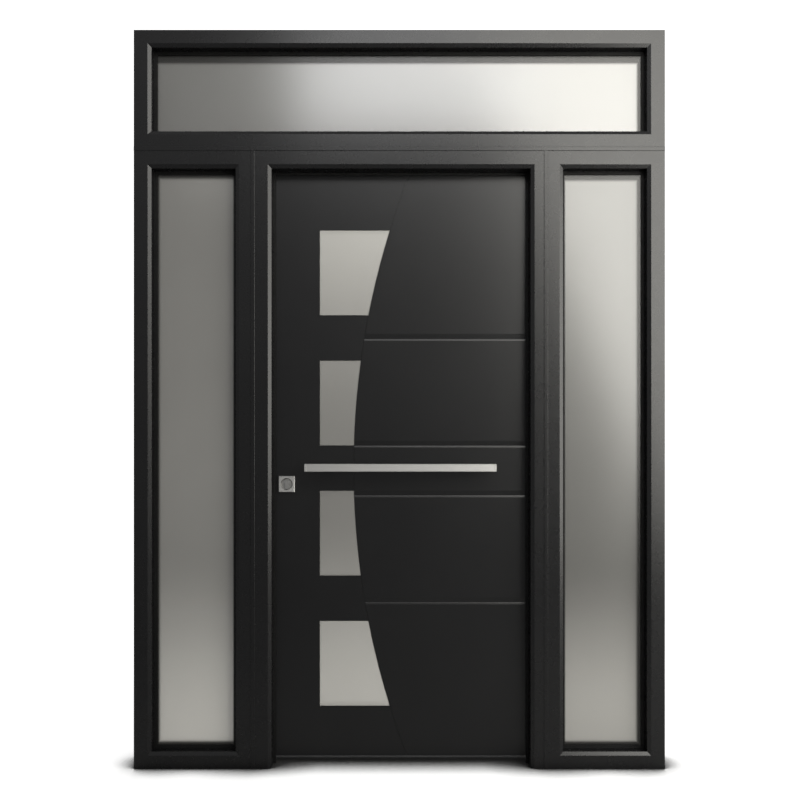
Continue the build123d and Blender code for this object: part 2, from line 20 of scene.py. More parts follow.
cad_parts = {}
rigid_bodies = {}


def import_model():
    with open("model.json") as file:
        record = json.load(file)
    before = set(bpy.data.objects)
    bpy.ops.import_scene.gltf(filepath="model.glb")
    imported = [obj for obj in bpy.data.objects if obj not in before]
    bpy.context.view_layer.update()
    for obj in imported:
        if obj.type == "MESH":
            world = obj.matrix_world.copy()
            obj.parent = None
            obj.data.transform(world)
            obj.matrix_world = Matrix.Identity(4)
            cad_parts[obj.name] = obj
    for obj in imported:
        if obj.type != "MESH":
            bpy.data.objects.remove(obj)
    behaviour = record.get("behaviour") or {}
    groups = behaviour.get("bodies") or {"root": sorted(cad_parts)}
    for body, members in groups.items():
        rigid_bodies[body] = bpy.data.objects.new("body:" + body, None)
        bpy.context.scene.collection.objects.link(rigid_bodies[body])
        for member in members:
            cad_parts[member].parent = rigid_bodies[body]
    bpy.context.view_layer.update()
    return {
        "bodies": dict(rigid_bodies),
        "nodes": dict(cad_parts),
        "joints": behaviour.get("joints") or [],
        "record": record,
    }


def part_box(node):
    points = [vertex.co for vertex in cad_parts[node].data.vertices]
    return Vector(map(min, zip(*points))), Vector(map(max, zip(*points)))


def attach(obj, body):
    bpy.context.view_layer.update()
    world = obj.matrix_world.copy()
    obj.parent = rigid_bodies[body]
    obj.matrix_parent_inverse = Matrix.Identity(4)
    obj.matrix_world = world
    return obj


LOG = logging.getLogger("door_set")
MM = 0.001

Point = tuple[float, float, float]
Sides = tuple[float, float, float, float]
Colour = tuple[float, float, float, float]

WHITE: Colour = (1.0, 1.0, 1.0, 1.0)
WARM_WHITE: Point = (1.0, 0.98, 0.92)
# Numbers of the colour sockets of Blender's Mix node, whose names several sockets share.
MIX_FIRST, MIX_SECOND, MIX_RESULT = 6, 7, 2
# A noise texture goes from 0 to 1 but keeps mostly between these two.
NOISE_LOW, NOISE_HIGH = 0.3, 0.7


class Slot(str, Enum):
    """Finishes that the record names for the pieces of the set."""

    FRAME_PAINT = "frame_paint"
    LEAF_PAINT = "leaf_paint"
    SATIN_GLASS = "satin_glass"
    SEAL_RUBBER = "seal_rubber"
    SATIN_STEEL = "satin_steel"


class Body(str, Enum):
    """Bodies that a piece can ride on."""

    FRAME = "frame"
    LEAF = "leaf"


class Sketch:
    """Short calls for placing and joining the nodes of one tree."""

    def __init__(self, tree: bpy.types.NodeTree) -> None:
        """Start on a tree."""
        self.tree = tree

    def add(self, kind: str, **values: object) -> bpy.types.Node:
        """Place a node and set the named properties of it.

        Args:
            kind: Blender's type name of the node.
            values: properties of the node and what they are set to.

        Returns:
            The new node.
        """
        node = self.tree.nodes.new(kind)
        for name, value in values.items():
            setattr(node, name, value)
        return node

    def put(self, node: bpy.types.Node, **values: object) -> bpy.types.Node:
        """Set input sockets of a node, or join an output socket to them.

        Args:
            node: the node whose inputs are set.
            values: socket names, with _ for a space, and a plain value or an output socket each.

        Returns:
            The same node.
        """
        for name, value in values.items():
            self.fill(node.inputs[name.replace("_", " ")], value)
        return node

    def fill(self, socket: bpy.types.NodeSocket, value: object) -> None:
        """Set one input socket to a plain value, or join an output socket to it."""
        if isinstance(value, bpy.types.NodeSocket):
            self.tree.links.new(value, socket)
        else:
            socket.default_value = value

    def sum(self, operation: str, first: object, second: object) -> bpy.types.NodeSocket:
        """Work out one sum of two numbers.

        Args:
            operation: Blender's name of the sum.
            first: a number or an output socket.
            second: a number or an output socket.

        Returns:
            The result.
        """
        node = self.add("ShaderNodeMath", operation=operation)
        self.fill(node.inputs[0], first)
        self.fill(node.inputs[1], second)
        return node.outputs[0]

    def rise(self, value: object, start: float, end: float, low: float, high: float) -> bpy.types.NodeSocket:
        """Go smoothly from one result to another while a value goes from start to end.

        Args:
            value: a number socket.
            start: value at which the result is low.
            end: value at which the result is high.
            low: result up to start.
            high: result from end on.

        Returns:
            The result.
        """
        node = self.add("ShaderNodeMapRange", interpolation_type="SMOOTHSTEP")
        self.put(node, Value=value, From_Min=start, From_Max=end, To_Min=low, To_Max=high)
        return node.outputs["Result"]

    def spread(self, value: bpy.types.NodeSocket, low: float, high: float) -> bpy.types.NodeSocket:
        """Map a texture, which keeps near the middle of 0 to 1, onto a range.

        Args:
            value: texture output.
            low: result where the texture is at its usual lowest.
            high: result where the texture is at its usual highest.

        Returns:
            The mapped output.
        """
        node = self.add("ShaderNodeMapRange")
        self.put(node, Value=value, From_Min=NOISE_LOW, From_Max=NOISE_HIGH, To_Min=low, To_Max=high)
        return node.outputs["Result"]

    def shade(self, fac: object, dark: object, pale: object, blend: str = "MIX") -> bpy.types.NodeSocket:
        """Blend two colours by a value and give the colour output.

        Args:
            fac: share of the second colour, a number or an output socket.
            dark: the first colour.
            pale: the second colour.
            blend: Blender's name of the way they are blended.

        Returns:
            The blended colour.
        """
        node = self.add("ShaderNodeMix", data_type="RGBA", blend_type=blend)
        self.fill(node.inputs["Factor"], fac)
        self.fill(node.inputs[MIX_FIRST], dark)
        self.fill(node.inputs[MIX_SECOND], pale)
        return node.outputs[MIX_RESULT]

    def bump(self, height: bpy.types.NodeSocket, strength: float, distance: float) -> bpy.types.NodeSocket:
        """Turn a height into a normal and give the normal output."""
        node = self.add("ShaderNodeBump")
        self.put(node, Height=height, Strength=strength, Distance=distance)
        return node.outputs["Normal"]

    def group(self, name: str, **values: object) -> bpy.types.Node:
        """Place one of the shared groups and set its inputs."""
        return self.put(self.add("ShaderNodeGroup", node_tree=bpy.data.node_groups[name]), **values)


def new_group(name: str, inputs: dict[str, float], outputs: Sequence[str]) -> tuple[Sketch, dict, dict]:
    """Make an empty shader node group with named number sockets.

    Args:
        name: name of the group.
        inputs: input names and their default values. A vector input called Vector is always there.
        outputs: names of the number outputs.

    Returns:
        A sketch of the group's tree, its input sockets by name, and its output sockets by name.
    """
    tree = bpy.data.node_groups.new(name, "ShaderNodeTree")
    tree.interface.new_socket("Vector", in_out="INPUT", socket_type="NodeSocketVector")
    for label, value in inputs.items():
        socket = tree.interface.new_socket(label, in_out="INPUT", socket_type="NodeSocketFloat")
        socket.default_value = value
    for label in outputs:
        tree.interface.new_socket(label, in_out="OUTPUT", socket_type="NodeSocketFloat")
    sketch = Sketch(tree)
    start = sketch.add("NodeGroupInput")
    end = sketch.add("NodeGroupOutput")
    return sketch, dict(start.outputs.items()), dict(end.inputs.items())


def coat_texture_group() -> None:
    """Make the skin of a coat: Peel, a fine height, with slow drifts of Tone and Gloss, each about 0 to 1."""
    inputs = {"Peel Scale": 420.0, "Drift Scale": 2.5}
    sketch, given, out = new_group("coat_texture", inputs, ("Peel", "Tone", "Gloss"))
    smears_in_drift = 9.0
    noise_roughness = 0.55
    layers = (
        ("Peel", given["Peel Scale"], 2.0),
        ("Tone", given["Drift Scale"], 3.0),
        ("Gloss", sketch.sum("MULTIPLY", given["Drift Scale"], smears_in_drift), 4.0),
    )
    for label, scale, detail in layers:
        noise = sketch.add("ShaderNodeTexNoise")
        sketch.put(noise, Vector=given["Vector"], Scale=scale, Detail=detail, Roughness=noise_roughness)
        sketch.fill(out[label], noise.outputs["Fac"])


def brushed_group() -> None:
    """Make fine scratches along X: Scratch, a height, and Shade, broader streaks, each about 0 to 1."""
    sketch, given, out = new_group("brushed_scratches", {"Density": 900.0, "Run": 7.0}, ("Scratch", "Shade"))
    noise_roughness = 0.6
    scale = sketch.add("ShaderNodeCombineXYZ")
    sketch.put(scale, X=given["Run"], Y=given["Density"], Z=given["Density"])
    stretch = sketch.add("ShaderNodeVectorMath", operation="MULTIPLY")
    sketch.fill(stretch.inputs[0], given["Vector"])
    sketch.fill(stretch.inputs[1], scale.outputs[0])
    for label, size, detail in (("Scratch", 1.0, 3.0), ("Shade", 0.12, 2.0)):
        noise = sketch.add("ShaderNodeTexNoise")
        sketch.put(noise, Vector=stretch.outputs[0], Scale=size, Detail=detail, Roughness=noise_roughness)
        sketch.fill(out[label], noise.outputs["Fac"])


def edge_fringe_group() -> None:
    """Make a mask for an upright rectangle: Inside is 0 at its nearest side and 1 from Width inwards."""
    sides = {"Left": -1.0, "Right": 1.0, "Bottom": 0.0, "Top": 2.0, "Width": 0.01}
    sketch, given, out = new_group("edge_fringe", sides, ("Inside",))
    split = sketch.put(sketch.add("ShaderNodeSeparateXYZ"), Vector=given["Vector"])
    x, z = split.outputs["X"], split.outputs["Z"]
    left = sketch.sum("SUBTRACT", x, given["Left"])
    right = sketch.sum("SUBTRACT", given["Right"], x)
    bottom = sketch.sum("SUBTRACT", z, given["Bottom"])
    top = sketch.sum("SUBTRACT", given["Top"], z)
    nearest = sketch.sum("MINIMUM", sketch.sum("MINIMUM", left, right), sketch.sum("MINIMUM", bottom, top))
    sketch.fill(out["Inside"], sketch.rise(nearest, 0.0, given["Width"], 0.0, 1.0))


def new_material(name: str) -> tuple[bpy.types.Material, Sketch, bpy.types.Node, bpy.types.NodeSocket]:
    """Start a node material.

    Args:
        name: name of the material.

    Returns:
        The material, a sketch of its tree, its Principled shader and its Object coordinates.
    """
    material = bpy.data.materials.new(name)
    material.use_nodes = True
    sketch = Sketch(material.node_tree)
    shader = material.node_tree.nodes["Principled BSDF"]
    place = sketch.add("ShaderNodeTexCoord")
    return material, sketch, shader, place.outputs["Object"]


def grey(level: float, warmth: float = 0.0) -> Colour:
    """A grey of some level, warmer where warmth takes a share off its blue."""
    return (level, level * (1 - warmth / 4), level * (1 - warmth), 1.0)


@dataclass(frozen=True)
class PowderCoat:
    """Satin powder coat on aluminium."""

    name: str
    dark: Colour
    pale: Colour
    roughness: tuple[float, float]
    specular: float = 0.5
    peel_scale: float = 420.0
    peel_strength: float = 0.002
    peel_depth: float = 0.4 * MM

    def material(self) -> bpy.types.Material:
        """Build the material: orange peel as bump, slow drifts of tone and gloss."""
        material, sketch, shader, place = new_material(self.name)
        skin = sketch.group("coat_texture", Vector=place, Peel_Scale=self.peel_scale)
        tone = sketch.spread(skin.outputs["Tone"], 0.0, 1.0)
        sketch.put(
            shader,
            Base_Color=sketch.shade(tone, self.dark, self.pale),
            Roughness=sketch.spread(skin.outputs["Gloss"], *self.roughness),
            Normal=sketch.bump(skin.outputs["Peel"], self.peel_strength, self.peel_depth),
            Specular_IOR_Level=self.specular,
        )
        return material


@dataclass(frozen=True)
class EtchedGlass:
    """Sealed glass unit with an acid-etched, satin face, and painted light: a paler colour towards some
    heights.

    Where a lip and a painted shade band are given, as the left, right, bottom and top of two rectangles,
    painted shade darkens the glass to near black up to the lip, and to matt grey up to the band, with less
    coat.
    """

    name: str
    base_tone: Colour
    painted_light_tone: Colour
    heights: tuple[tuple[float, float, float], ...]
    roughness: tuple[float, float] = (0.22, 0.26)
    ior: float = 1.45
    transmission: float = 0.3
    coat: float = 0.6
    coat_ior: float = 1.7
    coat_roughness: float = 0.22
    mottling: float = 0.04
    drift_scale: float = 1.2
    peel_scale: float = 900.0
    peel_strength: float = 0.03
    peel_depth: float = 0.2 * MM
    lip: Optional[Sides] = None
    painted_shade_band: Optional[Sides] = None
    painted_rim_shade_width: float = 7.0 * MM
    painted_rim_shade_tone: float = 0.1
    painted_shade_band_width: float = 12.0 * MM
    painted_shade_band_tone: float = 0.25

    def painted_light_share(
        self, sketch: Sketch, place: bpy.types.NodeSocket, mottle: bpy.types.NodeSocket
    ) -> bpy.types.NodeSocket:
        """Share of the painted light colour, 0 to 1: painted light rising between heights, and a faint
        mottling.

        Args:
            sketch: the material's tree.
            place: its Object coordinates.
            mottle: a slow noise.

        Returns:
            The thickness.
        """
        split = sketch.put(sketch.add("ShaderNodeSeparateXYZ"), Vector=place)
        total = sketch.spread(mottle, -self.mottling, self.mottling)
        # Painted light: the glass gets paler between these heights.
        for none, full, share in self.heights:
            total = sketch.sum("ADD", total, sketch.rise(split.outputs["Z"], none, full, 0.0, share))
        return total

    def material(self) -> bpy.types.Material:
        """Build the material: milky body, soft gloss, faint mottling, painted light by height, painted shade
        at edges.
        """
        material, sketch, shader, place = new_material(self.name)
        scales = {"Peel_Scale": self.peel_scale, "Drift_Scale": self.drift_scale}
        skin = sketch.group("coat_texture", Vector=place, **scales)
        colour = sketch.shade(self.painted_light_share(sketch, place, skin.outputs["Tone"]), self.base_tone, self.painted_light_tone)
        gloss: object = self.coat
        # Painted shade at the glass's edges: near black up to the lip, matt grey with less coat up to the
        # band.
        edges = (
            (self.painted_shade_band, self.painted_shade_band_width, self.painted_shade_band_tone),
            (self.lip, self.painted_rim_shade_width, self.painted_rim_shade_tone),
        )
        for sides, width, tone in edges:
            if sides:
                rectangle = dict(zip(("Left", "Right", "Bottom", "Top"), sides))
                fringe = sketch.group("edge_fringe", Vector=place, Width=width, **rectangle)
                inside = fringe.outputs["Inside"]
                outer = tuple(tone * part for part in self.base_tone[:3]) + (1.0,)
                colour = sketch.shade(inside, outer, colour)
                gloss = sketch.sum("MULTIPLY", inside, gloss)
        sketch.put(
            shader,
            Base_Color=colour,
            Roughness=sketch.spread(skin.outputs["Gloss"], *self.roughness),
            Normal=sketch.bump(skin.outputs["Peel"], self.peel_strength, self.peel_depth),
            IOR=self.ior,
            Transmission_Weight=self.transmission,
            Coat_Weight=gloss,
            Coat_Roughness=self.coat_roughness,
            Coat_IOR=self.coat_ior,
        )
        return material


@dataclass(frozen=True)
class BrushedSteel:
    """Stainless steel with fine scratches along X, and where a dish is given, painted shade inside that round
    dish.

    The dish is the place across, the height and the radius of the circle, seen along Y.
    """

    name: str
    dark: Colour
    pale: Colour
    roughness: tuple[float, float]
    dish: Optional[tuple[float, float, float]] = None
    dish_painted_shade: Colour = (0.62, 0.62, 0.62, 1.0)
    dish_edge: float = 0.6 * MM
    scratch_strength: float = 0.12
    scratch_depth: float = 0.05 * MM

    def off_dish(self, sketch: Sketch, place: bpy.types.NodeSocket) -> bpy.types.NodeSocket:
        """A mask that is 0 inside the dish and 1 outside, from the distance to its middle in X and Z."""
        across, level, radius = self.dish
        split = sketch.put(sketch.add("ShaderNodeSeparateXYZ"), Vector=place)
        side = sketch.sum("POWER", sketch.sum("SUBTRACT", split.outputs["X"], across), 2.0)
        rise = sketch.sum("POWER", sketch.sum("SUBTRACT", split.outputs["Z"], level), 2.0)
        distance = sketch.sum("SQRT", sketch.sum("ADD", side, rise), 0.0)
        return sketch.rise(distance, radius - self.dish_edge, radius, 0.0, 1.0)

    def material(self) -> bpy.types.Material:
        """Build the material: scratches as bump and as streaks of tone and gloss."""
        material, sketch, shader, place = new_material(self.name)
        scratches = sketch.group("brushed_scratches", Vector=place)
        colour = sketch.shade(sketch.spread(scratches.outputs["Shade"], 0.0, 1.0), self.dark, self.pale)
        if self.dish:
            # Painted shade: the steel's colour is darkened inside the dish.
            tone = sketch.shade(self.off_dish(sketch, place), self.dish_painted_shade, WHITE)
            colour = sketch.shade(1.0, colour, tone, "MULTIPLY")
        sketch.put(
            shader,
            Base_Color=colour,
            Roughness=sketch.spread(scratches.outputs["Scratch"], *self.roughness),
            Normal=sketch.bump(scratches.outputs["Scratch"], self.scratch_strength, self.scratch_depth),
            Metallic=1.0,
        )
        return material


@dataclass(frozen=True)
class SealRubber:
    """Black rubber of gaskets and seals."""

    name: str
    dark: Colour
    pale: Colour
    roughness: tuple[float, float] = (0.6, 0.75)
    specular: float = 0.25
    drift_scale: float = 6.0
    grain_scale: float = 1500.0
    grain_strength: float = 0.2
    grain_depth: float = 0.2 * MM

    def material(self) -> bpy.types.Material:
        """Build the material: matt, with a fine moulded grain."""
        material, sketch, shader, place = new_material(self.name)
        scales = {"Peel_Scale": self.grain_scale, "Drift_Scale": self.drift_scale}
        skin = sketch.group("coat_texture", Vector=place, **scales)
        tone = sketch.spread(skin.outputs["Tone"], 0.0, 1.0)
        sketch.put(
            shader,
            Base_Color=sketch.shade(tone, self.dark, self.pale),
            Roughness=sketch.spread(skin.outputs["Gloss"], *self.roughness),
            Normal=sketch.bump(skin.outputs["Peel"], self.grain_strength, self.grain_depth),
            Specular_IOR_Level=self.specular,
        )
        return material


PAINT_DARK: Colour = (0.0055, 0.0055, 0.006, 1.0)
PAINT_PALE: Colour = (0.0075, 0.0075, 0.008, 1.0)
GLASS_WARMTH = 0.07
STEEL_WARMTH = 0.03
# Heights of the painted light: from where there is none of it, to where it is full, and its share there.
# Each light's copy has its own base tone, to even out how much lamp light it gets: painted light and shade.
LEFT_GLASS = EtchedGlass(
    "left_sidelight_glass_painted_light",
    base_tone=grey(0.255, GLASS_WARMTH),
    painted_light_tone=grey(0.82, GLASS_WARMTH),
    heights=((2.00, 0.80, 0.12), (0.75, 0.05, 0.88)),
)
RIGHT_GLASS = EtchedGlass(
    "right_sidelight_glass_painted_light",
    base_tone=grey(0.165, GLASS_WARMTH),
    painted_light_tone=grey(0.48, GLASS_WARMTH),
    heights=((0.70, 0.15, 1.0),),
    coat=0.75,
)
TRANSOM_GLASS = EtchedGlass(
    "transom_glass_painted_shade",
    base_tone=grey(0.17, GLASS_WARMTH),
    painted_light_tone=grey(0.21, GLASS_WARMTH),
    heights=(),
    coat=1.0,
    coat_ior=1.9,
)
PANE_GLASS = EtchedGlass(
    "leaf_pane_glass_painted_light",
    base_tone=grey(0.28, GLASS_WARMTH),
    painted_light_tone=grey(0.71, GLASS_WARMTH),
    heights=((0.90, 0.15, 1.0), (1.10, 2.15, 0.85)),
    ior=1.6,
    coat_ior=1.5,
)
CYLINDER_STEEL = BrushedSteel(
    "cylinder_steel",
    dark=grey(0.54, STEEL_WARMTH),
    pale=grey(0.62, STEEL_WARMTH),
    roughness=(0.32, 0.40),
)
PLAIN_STEEL = BrushedSteel(
    "brushed_steel",
    dark=grey(0.67, STEEL_WARMTH),
    pale=grey(0.75, STEEL_WARMTH),
    roughness=(0.40, 0.50),
)
FINISHES: dict[Slot, object] = {
    Slot.FRAME_PAINT: PowderCoat("frame_powder_coat", PAINT_DARK, PAINT_PALE, roughness=(0.265, 0.285)),
    Slot.LEAF_PAINT: PowderCoat("leaf_powder_coat", PAINT_DARK, PAINT_PALE, roughness=(0.31, 0.335)),
    Slot.SATIN_GLASS: replace(LEFT_GLASS, name="etched_glass_painted_light"),
    Slot.SEAL_RUBBER: SealRubber("seal_rubber", dark=grey(0.004), pale=grey(0.007)),
    Slot.SATIN_STEEL: PLAIN_STEEL,
}
# Insets from the gasket of the painted shade bands, and of the painted rim shade: at the left, right, bottom
# and top.
LEFT_PAINTED_SHADE_BAND = (0.0, -12.0 * MM, 6.0 * MM, 6.0 * MM)
RIGHT_PAINTED_SHADE_BAND = (-12.0 * MM, 9.0 * MM, 6.0 * MM, 14.0 * MM)
TRANSOM_PAINTED_SHADE_BAND = (-8.0 * MM, 8.0 * MM, -12.0 * MM, 22.0 * MM)
TRANSOM_LIP = (-2.0 * MM, 0.0, -6.0 * MM, 0.0)


class Workshop:
    """The loaded frame and the finished materials, handed to every sub-assembly."""

    def __init__(self, frame: dict) -> None:
        """Make the shared groups and one material for each finish of the record."""
        self.frame = frame
        coat_texture_group()
        brushed_group()
        edge_fringe_group()
        self.materials = {slot: finish.material() for slot, finish in FINISHES.items()}
        self.slots = {part["node"]: Slot(part["material_slot"]) for part in frame["record"]["subparts"]}
        self.bare = set(frame["nodes"])

    def paint(self, node: str, material: Optional[bpy.types.Material] = None) -> None:
        """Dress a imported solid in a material, or else in the finish that the record names for it."""
        finish = material or self.materials[self.slots[node]]
        for holder in self.frame["nodes"][node].material_slots:
            holder.material = finish
        self.bare.discard(node)
        LOG.info("%s: %s", node, finish.name)

    def attach(self, piece: bpy.types.Object, body: Body, slot: Slot) -> None:
        """Dress a new piece in a finish of the record and let it ride on a body."""
        piece.data.materials.append(self.materials[slot])
        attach(piece, body.value)
        LOG.info("%s: %d faces on %s", piece.name, len(piece.data.polygons), body.value)


def mesh_object(name: str, points: np.ndarray, faces: list) -> bpy.types.Object:
    """Make a linked object, at the origin, from points and faces.

    Args:
        name: name of the object.
        points: array of points and coordinates.
        faces: lists of point numbers, anticlockwise seen from outside.

    Returns:
        The object.
    """
    mesh = bpy.data.meshes.new(name)
    mesh.from_pydata(points.tolist(), [], faces)
    made = bpy.data.objects.new(name, mesh)
    bpy.context.scene.collection.objects.link(made)
    return made


@dataclass(frozen=True)
class ScrewHead:
    """A low round screw head with a hexagon socket."""

    radius: float = 4.0 * MM
    proud: float = 1.0 * MM
    socket: float = 1.5 * MM
    floor: float = 0.25 * MM
    sunk: float = 0.3 * MM
    sectors: int = 24
    shoulder_share: float = 0.93
    rim_share: float = 0.8
    mouth_share: float = 1.2
    wall_rise: float = 0.4
    shoulder_rise: float = 0.8

    def rings(self) -> np.ndarray:
        """Rings from the foot over the shoulder into the socket: rows of radius, height, 1 for a hexagon."""
        rings = (
            (self.radius, -self.sunk, 0),
            (self.radius, self.wall_rise * self.proud, 0),
            (self.shoulder_share * self.radius, self.shoulder_rise * self.proud, 0),
            (self.rim_share * self.radius, self.proud, 0),
            (self.mouth_share * self.socket, self.proud, 0),
            (self.socket, self.proud, 1),
            (self.socket, self.floor, 1),
        )
        return np.array(rings).T

    def build(self, name: str, places: np.ndarray, axis: Point) -> bpy.types.Object:
        """Make one mesh of like screw heads that stand on a face.

        Each head is a profile turned about its axis. Round the socket the radius is divided by the cosine
        of the angle to the nearest flat of the hexagon. A point at the foot and one on the socket's floor
        close the surface.

        Args:
            name: name of the object.
            places: middles of the heads on the face, as an array of points and coordinates.
            axis: direction out of the face.

        Returns:
            The object.
        """
        radius, height, hexagon = self.rings()
        turn = np.arange(self.sectors) * 2 * np.pi / self.sectors
        flat = np.cos(np.mod(turn, np.pi / 3) - np.pi / 6)
        reach = radius[:, None] / np.where(hexagon[:, None] == 1, flat[None, :], 1.0)
        out = Vector(axis).normalized()
        side = out.orthogonal().normalized()
        up = np.array(out.cross(side))
        side, out = np.array(side), np.array(out)
        circle = np.cos(turn)[:, None] * side + np.sin(turn)[:, None] * up
        wall = reach[..., None] * circle[None, :, :] + height[:, None, None] * out
        head = np.concatenate(([-self.sunk * out], wall.reshape(-1, 3), [self.floor * out]))
        points = (places[:, None, :] + head[None, :, :]).reshape(-1, 3)
        index = 1 + np.arange(radius.size * self.sectors).reshape(radius.size, self.sectors)
        after = np.roll(index, -1, axis=1)
        quads = np.stack((index[:-1], after[:-1], after[1:], index[1:]), axis=-1).reshape(-1, 4)
        foot = np.stack((np.zeros_like(index[0]), after[0], index[0]), axis=-1)
        floor = np.stack((np.full_like(index[0], len(head) - 1), index[-1], after[-1]), axis=-1)
        shift = len(head) * np.arange(len(places))[:, None, None]
        fans = (np.concatenate((foot, floor))[None] + shift).reshape(-1, 3)
        return mesh_object(name, points, (quads[None] + shift).reshape(-1, 4).tolist() + fans.tolist())


def plate_ends(node: str, right: bool, inset: float) -> np.ndarray:
    """Places for a screw near each end of an upright plate that faces left or right.

    Args:
        node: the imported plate.
        right: whether the plate faces right.
        inset: distance of each screw from its end of the plate.

    Returns:
        An array of two points.
    """
    low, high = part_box(node)
    face = high[0] if right else low[0]
    middle = (low[1] + high[1]) / 2
    return np.array([[face, middle, level] for level in (low[2] + inset, high[2] - inset)])


@dataclass(frozen=True)
class FixedLight:
    """One glazed frame: two stiles, two rails, gasket, sealed unit and beads."""

    name: str
    stiles: tuple[str, str]
    glass: EtchedGlass
    painted_shade_band_inset: Sides
    lip_inset: Sides = (0.0, 0.0, 0.0, 0.0)
    gasket_reach: float = 25.0 * MM

    def inside_gasket(self, inset: Sides) -> Sides:
        """The left, right, bottom and top of a rectangle that is inset from the gasket's lip on each side."""
        low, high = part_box(f"{self.name}_gasket")
        left, right, bottom, top = (self.gasket_reach + part for part in inset)
        return (low[0] + left, high[0] - right, low[2] + bottom, high[2] - top)

    def build(self, shop: Workshop) -> None:
        """Dress the members in paint, and the sealed unit in etched glass of its own, with painted shade at
        its edges.
        """
        for part in (*self.stiles, "top_rail", "bottom_rail", "gasket", "beads"):
            shop.paint(f"{self.name}_{part}")
        lip, painted_shade_band = self.inside_gasket(self.lip_inset), self.inside_gasket(self.painted_shade_band_inset)
        shop.paint(f"{self.name}_glass", replace(self.glass, lip=lip, painted_shade_band=painted_shade_band).material())


@dataclass(frozen=True)
class DoorFrame:
    """Jambs, head, seal and strike plate, with the strips that couple the frame to its neighbours."""

    solids: tuple[str, ...] = (
        "lock_jamb", "hinge_jamb", "door_head", "door_seal", "strike_plate",
        "left_coupling_strip", "right_coupling_strip", "transom_coupling_strip",
    )
    screw_inset: float = 14.0 * MM
    screw: ScrewHead = ScrewHead()

    def build(self, shop: Workshop) -> None:
        """Dress the solids and screw the strike plate to its jamb."""
        for node in self.solids:
            shop.paint(node)
        places = plate_ends("strike_plate", True, self.screw_inset)
        shop.attach(self.screw.build("strike_screws", places, (1, 0, 0)), Body.FRAME, Slot.SATIN_STEEL)


@dataclass(frozen=True)
class DoorLeaf:
    """Skins and core of the leaf, with its four panes and the rings that hold them."""

    solids: tuple[str, ...] = ("leaf_outer_skin", "leaf_core", "leaf_inner_skin", "pane_retainers")
    panes: tuple[str, ...] = ("top_pane", "upper_pane", "lower_pane", "bottom_pane")
    glass: EtchedGlass = PANE_GLASS

    def build(self, shop: Workshop) -> None:
        """Dress the leaf in paint and its panes in etched glass."""
        for node in self.solids:
            shop.paint(node)
        etched = self.glass.material()
        for node in self.panes:
            shop.paint(node, etched)


@dataclass(frozen=True)
class PullBar:
    """Square bar, its end caps and posts, with a clamping screw under each post."""

    solids: tuple[str, ...] = ("pull_bar", "pull_bar_caps", "pull_bar_posts")
    post_radius: float = 10.0 * MM
    screw: ScrewHead = ScrewHead(
        radius=2.5 * MM, proud=0.5 * MM, socket=1.2 * MM, floor=0.1 * MM, sunk=0.6 * MM
    )

    def build(self, shop: Workshop) -> None:
        """Dress the bar and put a screw under each post, halfway between bar and leaf."""
        for node in self.solids:
            shop.paint(node)
        low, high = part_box("pull_bar_posts")
        middle = (low[1] + high[1]) / 2
        sides = (low[0] + self.post_radius, high[0] - self.post_radius)
        places = np.array([[side, middle, low[2]] for side in sides])
        shop.attach(self.screw.build("pull_bar_screws", places, (0, 0, -1)), Body.LEAF, Slot.SATIN_STEEL)


@dataclass(frozen=True)
class LockFurniture:
    """Lock plates, key cylinders, inside lever, and the lock's plate and bolts in the edge of the leaf."""

    solids: tuple[str, ...] = ("inner_lever_rose", "inner_lever", "lock_faceplate", "lock_bolts")
    plates: tuple[str, ...] = ("outer_lock_plate", "inner_lock_plate")
    cylinders: tuple[str, ...] = ("outer_cylinder", "inner_cylinder")
    dish_radius: float = 21.0 * MM
    screw_inset: float = 14.0 * MM
    screw: ScrewHead = ScrewHead()

    def build(self, shop: Workshop) -> None:
        """Dress the fittings and screw the lock's plate into the edge of the leaf."""
        for node in self.solids:
            shop.paint(node)
        low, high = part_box(self.plates[0])
        dish = ((low[0] + high[0]) / 2, (low[2] + high[2]) / 2, self.dish_radius)
        dished = replace(PLAIN_STEEL, name="dished_plate_steel", dish=dish).material()
        for node in self.plates:
            shop.paint(node, dished)
        turned = CYLINDER_STEEL.material()
        for node in self.cylinders:
            shop.paint(node, turned)
        places = plate_ends("lock_faceplate", False, self.screw_inset)
        shop.attach(self.screw.build("faceplate_screws", places, (-1, 0, 0)), Body.LEAF, Slot.SATIN_STEEL)


@dataclass(frozen=True)
class Hinges:
    """Barrel hinges on the inside, with three screws through each flange."""

    solids: tuple[str, ...] = ("hinge_jamb_halves", "hinge_leaf_halves", "hinge_pins")
    count: int = 3
    height: float = 100.0 * MM
    flange_middle: float = 18.5 * MM
    flange_thickness: float = 3.5 * MM
    screw_levels: tuple[float, ...] = (-36.0 * MM, 0.0, 36.0 * MM)
    screw: ScrewHead = ScrewHead()

    def build(self, shop: Workshop) -> None:
        """Dress the hinges and screw their flanges to the jamb and to the leaf."""
        for node in self.solids:
            shop.paint(node)
        axis_x = shop.frame["joints"][0]["pos_m"][0]
        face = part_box("leaf_inner_skin")[1][1] + self.flange_thickness
        low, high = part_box("hinge_leaf_halves")
        levels = np.linspace(low[2] + self.height / 2, high[2] - self.height / 2, self.count)
        heights = (levels[:, None] + np.array(self.screw_levels)[None, :]).ravel()
        for name, side, body in (("hinge_jamb_screws", 1, Body.FRAME), ("hinge_leaf_screws", -1, Body.LEAF)):
            across = np.full_like(heights, axis_x + side * self.flange_middle)
            places = np.stack((across, np.full_like(heights, face), heights), axis=-1)
            shop.attach(self.screw.build(name, places, (0, 1, 0)), body, Slot.FRAME_PAINT)


